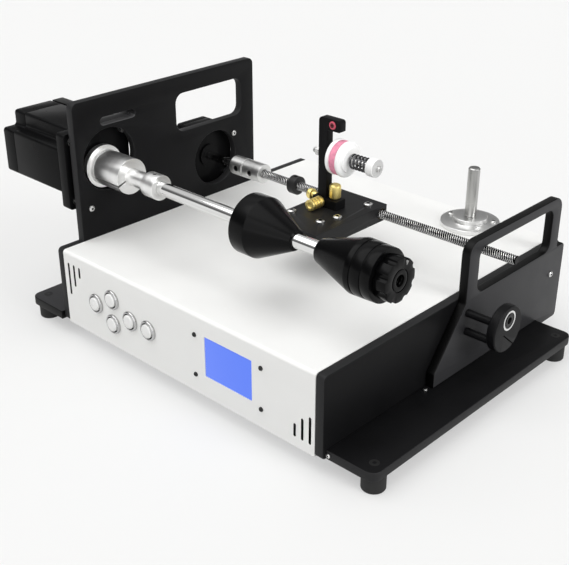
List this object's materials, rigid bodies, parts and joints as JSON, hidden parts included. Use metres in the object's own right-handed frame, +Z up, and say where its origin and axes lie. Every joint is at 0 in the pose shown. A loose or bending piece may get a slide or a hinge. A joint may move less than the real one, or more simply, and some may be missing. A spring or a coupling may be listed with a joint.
{
  "type": "wire coil winding machine",
  "caption": "Bench coil winder: motor-driven shaft with clamping cones, lead-screw traverse with wire guide and tensioner, keypad case.",
  "frame": {"origin": "on the ground under the middle of the machine's overall box, at the undersides of the rubber feet", "axes": "+X along the winding shaft from the motors to the clamping knob, +Y from the keypad panel to the rear wall, +Z up"},
  "size_m": [0.46, 0.33, 0.213],
  "materials": {
    "white_paint": "fine powder coat, light grey",
    "pan_steel": "zinc-plated sheet",
    "black_plate": "black anodised, satin",
    "foot_rubber": "matte",
    "black_steel": "black oxide",
    "bright_steel": "bright zinc",
    "spring_steel": "dark drawn wire",
    "ground_steel": "ground and polished",
    "turned_aluminium": "turned, fine rings",
    "motor_black": "satin black",
    "black_plastic": "satin black",
    "chrome_ring": "polished",
    "button_cap": "pale, lightly domed",
    "lcd_blue": "backlit display",
    "module_plastic": "moulded frame on a circuit board",
    "board_green": "lacquered circuit board",
    "supply_case": "sheet",
    "driver_case": "moulded",
    "inlet_plastic": "moulded",
    "rocker_red": "moulded",
    "brass": "turned",
    "white_nylon": "turned nylon",
    "white_ceramic": "fired, smooth",
    "pink_felt": "pressed felt",
    "ruby": "polished"
  },
  "bodies": {
    "base": {"bearing_disc": "black_plate", "bearing_disc_rods": "black_steel", "black_screws": "black_steel", "bottom_pan": "pan_steel", "button_bezels": "chrome_ring", "case_cover": "white_paint", "control_board": "board_green", "lcd_module": "module_plastic", "lcd_screen": "lcd_blue", "left_foot_flange": "black_plate", "left_side_plate": "black_plate", "motor_bolts": "bright_steel", "motor_bosses": "motor_black", "motor_drivers": "driver_case", "plate_screws": "bright_steel", "power_inlet": "inlet_plastic", "power_supply": "supply_case", "right_foot_flange": "black_plate", "right_handle_plate": "black_plate", "right_side_plate": "black_plate", "rubber_feet": "foot_rubber", "side_bearing_ring": "ground_steel", "spindle_motor": "motor_black", "spool_post": "turned_aluminium", "traverse_motor": "motor_black"},
    "spindle": {"spindle_motor_shaft": "ground_steel", "spindle_hub": "turned_aluminium", "spindle_collar": "turned_aluminium", "winding_shaft": "ground_steel", "cone_left": "black_plastic", "spindle_set_screws": "bright_steel"},
    "clamp_cone": {"cone_right": "black_plastic"},
    "clamp_knob": {"star_knob": "black_plastic"},
    "carriage": {"carriage_block": "black_plate", "lead_nut": "brass", "carriage_glides": "white_nylon", "carriage_screws": "bright_steel", "guide_foot": "black_plate"},
    "lead": {"traverse_motor_shaft": "ground_steel", "shaft_coupling": "turned_aluminium", "lead_screw": "ground_steel", "screw_collar": "black_steel", "lead_set_screws": "bright_steel"},
    "guide": {"guide_bar": "black_plate", "wire_eyelet": "ruby", "tension_bolt": "bright_steel", "tension_spring": "spring_steel"},
    "discs": {"tension_discs": "white_ceramic", "tension_felt": "pink_felt"},
    "tension_nut": {"tension_knob": "white_nylon"},
    "thumb_front": {"thumbscrew_front": "brass"},
    "thumb_side": {"thumbscrew_side": "brass"},
    "thumb_top": {"thumbscrew_top": "brass"},
    "key_left": {"button_left": "button_cap"},
    "key_up": {"button_up": "button_cap"},
    "key_down": {"button_down": "button_cap"},
    "key_right": {"button_right": "button_cap"},
    "key_enter": {"button_enter": "button_cap"},
    "rocker": {"power_rocker": "rocker_red"},
    "side_bearing": {"side_bearing_hub": "ground_steel"}
  },
  "joints": [
    {"name": "spindle_spin", "type": "hinge", "parent": "base", "child": "spindle", "pos_m": [0.051, -0.10637, 0.1488], "axis": [1, 0, 0], "continuous": true},
    {"name": "cone_right_slide", "type": "slide", "parent": "spindle", "child": "clamp_cone", "axis": [-1, 0, 0], "range_m": [-0.012, 0.018]},
    {"name": "star_knob_turn", "type": "hinge", "parent": "clamp_cone", "child": "clamp_knob", "pos_m": [0.051, -0.10637, 0.1488], "axis": [1, 0, 0], "range_deg": [0, 180]},
    {"name": "carriage_slide", "type": "slide", "parent": "base", "child": "carriage", "axis": [1, 0, 0], "range_m": [-0.04, 0.095]},
    {"name": "lead_screw_spin", "type": "hinge", "parent": "base", "child": "lead", "pos_m": [0.077, 0.02563, 0.1232], "axis": [1, 0, 0], "continuous": true},
    {"name": "guide_bar_slide", "type": "slide", "parent": "carriage", "child": "guide", "axis": [0, 0, 1], "range_m": [0, 0.006]},
    {"name": "tension_disc_spin", "type": "hinge", "parent": "guide", "child": "discs", "pos_m": [0.057, -0.00407, 0.177], "axis": [1, 0, 0], "continuous": true},
    {"name": "tension_knob_turn", "type": "hinge", "parent": "guide", "child": "tension_nut", "pos_m": [0.057, -0.00407, 0.177], "axis": [1, 0, 0], "range_deg": [0, 360]},
    {"name": "thumbscrew_front_turn", "type": "hinge", "parent": "carriage", "child": "thumb_front", "pos_m": [0.0475, -0.01037, 0.1358], "axis": [0, 1, 0], "range_deg": [0, 180]},
    {"name": "thumbscrew_side_turn", "type": "hinge", "parent": "carriage", "child": "thumb_side", "pos_m": [0.0375, -0.00407, 0.1358], "axis": [1, 0, 0], "range_deg": [0, 180]},
    {"name": "thumbscrew_top_turn", "type": "hinge", "parent": "carriage", "child": "thumb_top", "pos_m": [0.0574, -0.00407, 0.1385], "axis": [0, 0, 1], "range_deg": [0, 180]},
    {"name": "button_left_press", "type": "slide", "parent": "base", "child": "key_left", "axis": [0, 1, 0], "range_m": [0, 0.002], "stiffness_N_per_m": 300, "springref_m": -0.002},
    {"name": "button_up_press", "type": "slide", "parent": "base", "child": "key_up", "axis": [0, 1, 0], "range_m": [0, 0.002], "stiffness_N_per_m": 300, "springref_m": -0.002},
    {"name": "button_down_press", "type": "slide", "parent": "base", "child": "key_down", "axis": [0, 1, 0], "range_m": [0, 0.002], "stiffness_N_per_m": 300, "springref_m": -0.002},
    {"name": "button_right_press", "type": "slide", "parent": "base", "child": "key_right", "axis": [0, 1, 0], "range_m": [0, 0.002], "stiffness_N_per_m": 300, "springref_m": -0.002},
    {"name": "button_enter_press", "type": "slide", "parent": "base", "child": "key_enter", "axis": [0, 1, 0], "range_m": [0, 0.002], "stiffness_N_per_m": 300, "springref_m": -0.002},
    {"name": "power_rocker_turn", "type": "hinge", "parent": "base", "child": "rocker", "pos_m": [0.082, 0.15963, 0.05], "axis": [0, 0, 1], "range_deg": [-18, 0]},
    {"name": "side_bearing_spin", "type": "hinge", "parent": "base", "child": "side_bearing", "pos_m": [0.225, 0.01583, 0.0754], "axis": [1, 0, 0], "continuous": true}
  ],
  "couplings": [
    {"joint": "lead_screw_spin", "follows": "carriage_slide", "rad_per_m": 785.4}
  ]
}
